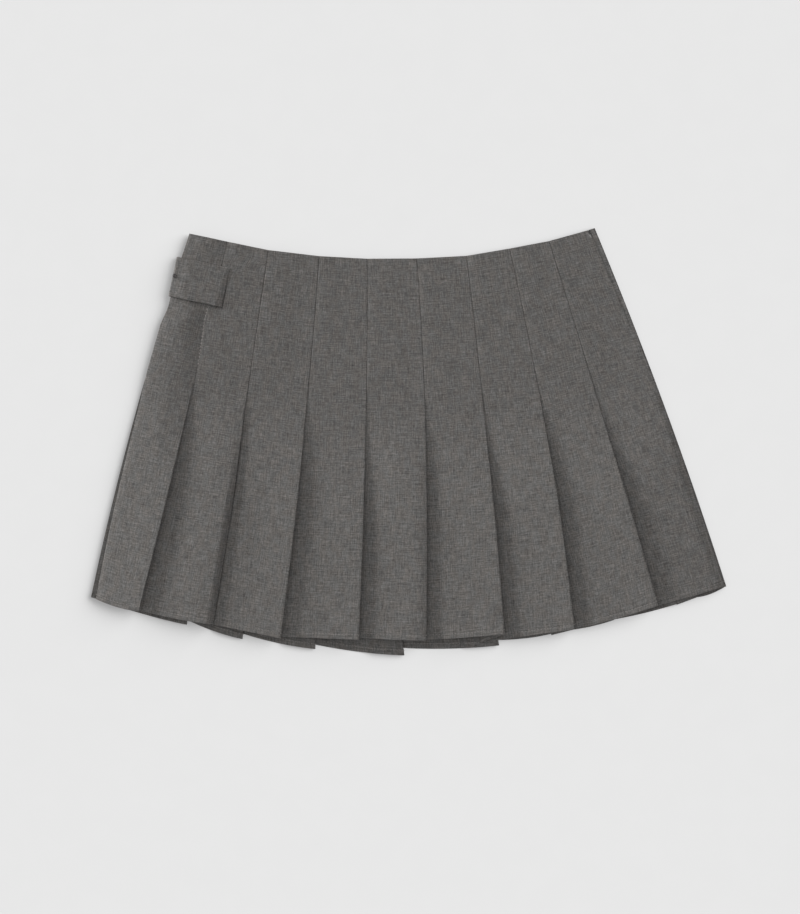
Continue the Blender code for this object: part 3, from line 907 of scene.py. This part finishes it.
def stitch_tree():
    """Line in, stitches out, with named inputs for their sizes."""
    tree = bpy.data.node_groups.new("A row of lockstitch", "GeometryNodeTree")
    kinds = {"Line": "Geometry", "Pitch": "Float", "Stitch length": "Float", "Thread": "Float",
             "Slant": "Float", "Seed": "Int", "Finish": "Material"}
    for name, kind in kinds.items():
        tree.interface.new_socket(name, in_out="INPUT", socket_type="NodeSocket" + kind)
    tree.interface.new_socket("Stitches", in_out="OUTPUT", socket_type="NodeSocketGeometry")
    given = add(tree, "NodeGroupInput").outputs
    path = add(tree, "GeometryNodeMeshToCurve", {"Mesh": given["Line"]})
    spaced = add(tree, "GeometryNodeResampleCurve", {"Curve": path.outputs[0], "Length": given["Pitch"]},
                 mode="LENGTH")
    along = add(tree, "FunctionNodeAlignRotationToVector",
                {"Vector": add(tree, "GeometryNodeInputTangent").outputs[0]}, axis="X")
    less = maths(tree, "MULTIPLY", given["Slant"], -1.0)
    slant = add(tree, "FunctionNodeRandomValue", {2: less, 3: given["Slant"], "Seed": given["Seed"]})
    turned = add(tree, "ShaderNodeCombineXYZ", {"Z": slant.outputs[1]})
    rotation = add(tree, "FunctionNodeRotateRotation", {0: along.outputs[0], 1: turned.outputs[0]},
                   rotation_space="GLOBAL")
    halves = [maths(tree, "MULTIPLY", given[name], 0.5) for name in ("Stitch length", "Thread")]
    size = add(tree, "ShaderNodeCombineXYZ", {"X": halves[0], "Y": halves[1], "Z": halves[1]})
    bead = add(tree, "GeometryNodeMeshUVSphere",
               {"Segments": BEAD_SIDES, "Rings": BEAD_RINGS, "Radius": 1.0})
    placed = add(tree, "GeometryNodeInstanceOnPoints",
                 {"Points": spaced.outputs[0], "Instance": bead.outputs["Mesh"],
                  "Rotation": rotation.outputs[0], "Scale": size.outputs[0]})
    real = add(tree, "GeometryNodeRealizeInstances", {0: placed.outputs[0]})
    done = add(tree, "GeometryNodeSetMaterial", {"Geometry": real.outputs[0], "Material": given["Finish"]})
    add(tree, "NodeGroupOutput", {"Stitches": done.outputs[0]})
    return tree


lockstitch = stitch_tree()
print(lockstitch.name, "has", len(lockstitch.nodes), "nodes")


# %% Lay a row of stitches on a line of points
def row_of_stitches(name, line, **sizes):
    """Runs the tree on a line, in millimetres, and keeps the result as a plain mesh."""
    line = np.array(line) * MM
    steps = np.diff(line, axis=0)
    level = np.abs(steps[:, 2]) < 0.6 * np.linalg.norm(steps, axis=1)  # no stitch stands in a fold
    mesh = bpy.data.meshes.new(name + "_line")
    mesh.from_pydata(line.tolist(), [(int(i), int(i) + 1) for i in np.flatnonzero(level)], [])
    guide = new_object(name + "_line", mesh)
    nodes = guide.modifiers.new("Stitches", "NODES")
    nodes.node_group = lockstitch
    for item in lockstitch.interface.items_tree:
        if item.in_out == "INPUT" and item.name in sizes:
            nodes[item.identifier] = sizes[item.name]
    made = bpy.data.meshes.new_from_object(guide.evaluated_get(bpy.context.evaluated_depsgraph_get()))
    bpy.data.objects.remove(guide)
    made.name = name
    made.shade_smooth()
    print(name, "has", len(made.polygons) // BEAD_FACES, "stitches")
    return new_object(name, made)

# %% [markdown]
# ## Where the stitches lie
#
# Both hems are stitched all the way across, inside the pleats too. On the back, what shows from above
# is the wrong side, so its row is laid on both sides of the cloth. The first pleat has a short row of
# edge stitches below the strap, which shows as light ticks on its fold; their lightness is the thread's
# painted highlight.

# %% Rows of stitches
hem_level = LEVELS.index(1 - HEM_STITCH / LENGTH)
hem_sizes = {"Pitch": 3.0 * MM, "Stitch length": 2.5 * MM, "Thread": 0.34 * MM, "Slant": 0.05,
             "Finish": thread}
front_hem = row_of_stitches("front_hem_stitches", front_sides[0][hem_level], Seed=11, **hem_sizes)
back_hem = row_of_stitches("back_hem_stitches", back_sides[0][hem_level], Seed=12, **hem_sizes)
back_hem_under = row_of_stitches("back_hem_stitches_right_side", back_sides[1][hem_level], Seed=13,
                                 **hem_sizes)
first_fold = len(FACE_SHARES) + 2
edge_from, edge_to = 0.165, 0.33  # the shares of the length between which the edge is stitched
edge_rows = [r for r, v in enumerate(LEVELS) if edge_from < v < edge_to]
edge_line = front_sides[0][edge_rows, first_fold] + np.array([0.2, 0, 0.4])  # just over the fold
# thick beads of the lightened thread, so that they show as light ticks: a painted highlight
edge_sizes = {"Pitch": 3.1 * MM, "Stitch length": 1.7 * MM, "Thread": 1.0 * MM, "Slant": 0.35,
              "Finish": thread}
first_edge = row_of_stitches("first_pleat_edge_stitches", edge_line, Seed=5, **edge_sizes)

# %% [markdown]
# ## Tying the pieces to the CAD
#
# Every piece rides on the one body, and the CAD node that it replaces is hidden. Each row of the table
# also names the record's material slot, which nothing here uses. The panels' widths laid open and the
# strap's length are only printed where they are built.

# %% Bodies, and the CAD nodes that the pieces replace
for piece, node, slot in (
    (front, "skirt_front", "suiting"),
    (back, "skirt_back", "suiting"),
    (strap, "waist_strap", "suiting"),
    (cap, "strap_rivet", "gunmetal"),
):
    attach(piece, "root")
    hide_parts(node)
for piece in (front_hem, back_hem, back_hem_under, first_edge):
    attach(piece, "root")

# %% [markdown]
# ## The camera
#
# The photograph looks straight down. A long lens from 5 m up shows hardly any perspective. The frame is
# 800 by 914 points, and 0.945 mm to a point.

# %% Camera straight above
FRAME_LONG = 914 * 0.945 * MM  # what its long side takes in
CAMERA_HIGH, SKIRT_HIGH = 5.0, 0.008  # the second is the height at which the frame is that long
SENSOR = 36  # mm
camera = new_object("Camera", bpy.data.cameras.new("Camera"))
camera.location = (-7.84 * MM, -14.46 * MM, CAMERA_HIGH)
camera.data.sensor_width = SENSOR
camera.data.lens = SENSOR * (CAMERA_HIGH - SKIRT_HIGH) / FRAME_LONG
bpy.context.scene.camera = camera
print("Lens", round(camera.data.lens, 1), "mm, frame", round(FRAME_LONG, 3), "m")

# %% [markdown]
# ## Floor and light
#
# The skirt was lit by broad soft light from its left, and then set on a pale ground with a soft shadow
# to its lower left. One sun can't do both, so there are two, each linked to what it lights: the first
# to the front, the strap and the stitches on the front, and the second to the floor, where the skirt
# still casts its shadow. The first leaves out the back and the cap, which are dark in the photograph.
# The sky fills in from above. The ground glows a little, as a light table does, which keeps the sky's
# own shadow round the skirt faint.

# %% Floor
paper, tree, shader = new_material("matt white paper on a light table")
grain = grain_noise(tree, 25 * MM, 2.0)
greys = colour_ramp(tree, grain, (0, "#7c7c7c"), (1, "#7e7e7e"))
feed(tree, shader, {"Base Color": greys, "Roughness": 1.0, "Specular IOR Level": 0.0,
                    "Emission Color": (1, 1, 1, 1), "Emission Strength": 0.276})
mesh = bpy.data.meshes.new("floor")
mesh.from_pydata([(-30, -30, 0), (30, -30, 0), (30, 30, 0), (-30, 30, 0)], [], [(0, 1, 2, 3)])
mesh.materials.append(paper)
floor = new_object("floor", mesh)

# %% Sky and two suns
SKY = 0.715  # light that flat cloth gets from the sky
SKY_LOW, SKY_MORE = 0.3, 1.4  # shares of it at the horizon, and more overhead
world = bpy.data.worlds.new("Soft sky, brightest overhead")
world.use_nodes = True
tree = world.node_tree
direction = add(tree, "ShaderNodeTexCoord").outputs["Generated"]
up = add(tree, "ShaderNodeSeparateXYZ", {0: direction}).outputs["Z"]
high_up = maths(tree, "POWER", up, 2.0)
bright = maths(tree, "MULTIPLY_ADD", high_up, SKY_MORE * SKY, SKY_LOW * SKY)
feed(tree, tree.nodes["Background"], {"Strength": bright, "Color": (1, 1, 1, 1)})
bpy.context.scene.world = world


def sun(name, strength, azimuth, elevation, wide, lit):
    """A sun of this width that lights only some objects; its azimuth counts from +X to +Y, in degrees."""
    light = bpy.data.lights.new(name, "SUN")
    light.energy, light.angle = strength, math.radians(wide)
    lamp = new_object(name, light)
    a, e = math.radians(azimuth), math.radians(elevation)
    towards = Vector((math.cos(a) * math.cos(e), math.sin(a) * math.cos(e), math.sin(e)))
    lamp.rotation_euler = towards.to_track_quat("Z", "Y").to_euler()
    receivers = bpy.data.collections.new(name + " lights these")
    for thing in lit:
        receivers.objects.link(thing)
    lamp.light_linking.receiver_collection = receivers


sun("Soft light on the front", 4.0, 153, 10.5, 23, [front, strap, front_hem, first_edge])
sun("Soft light on the floor", 11.0, 27, 32, 58, [floor])
bpy.context.scene.view_settings.view_transform = "Standard"
print("Sky", SKY, "and two suns")
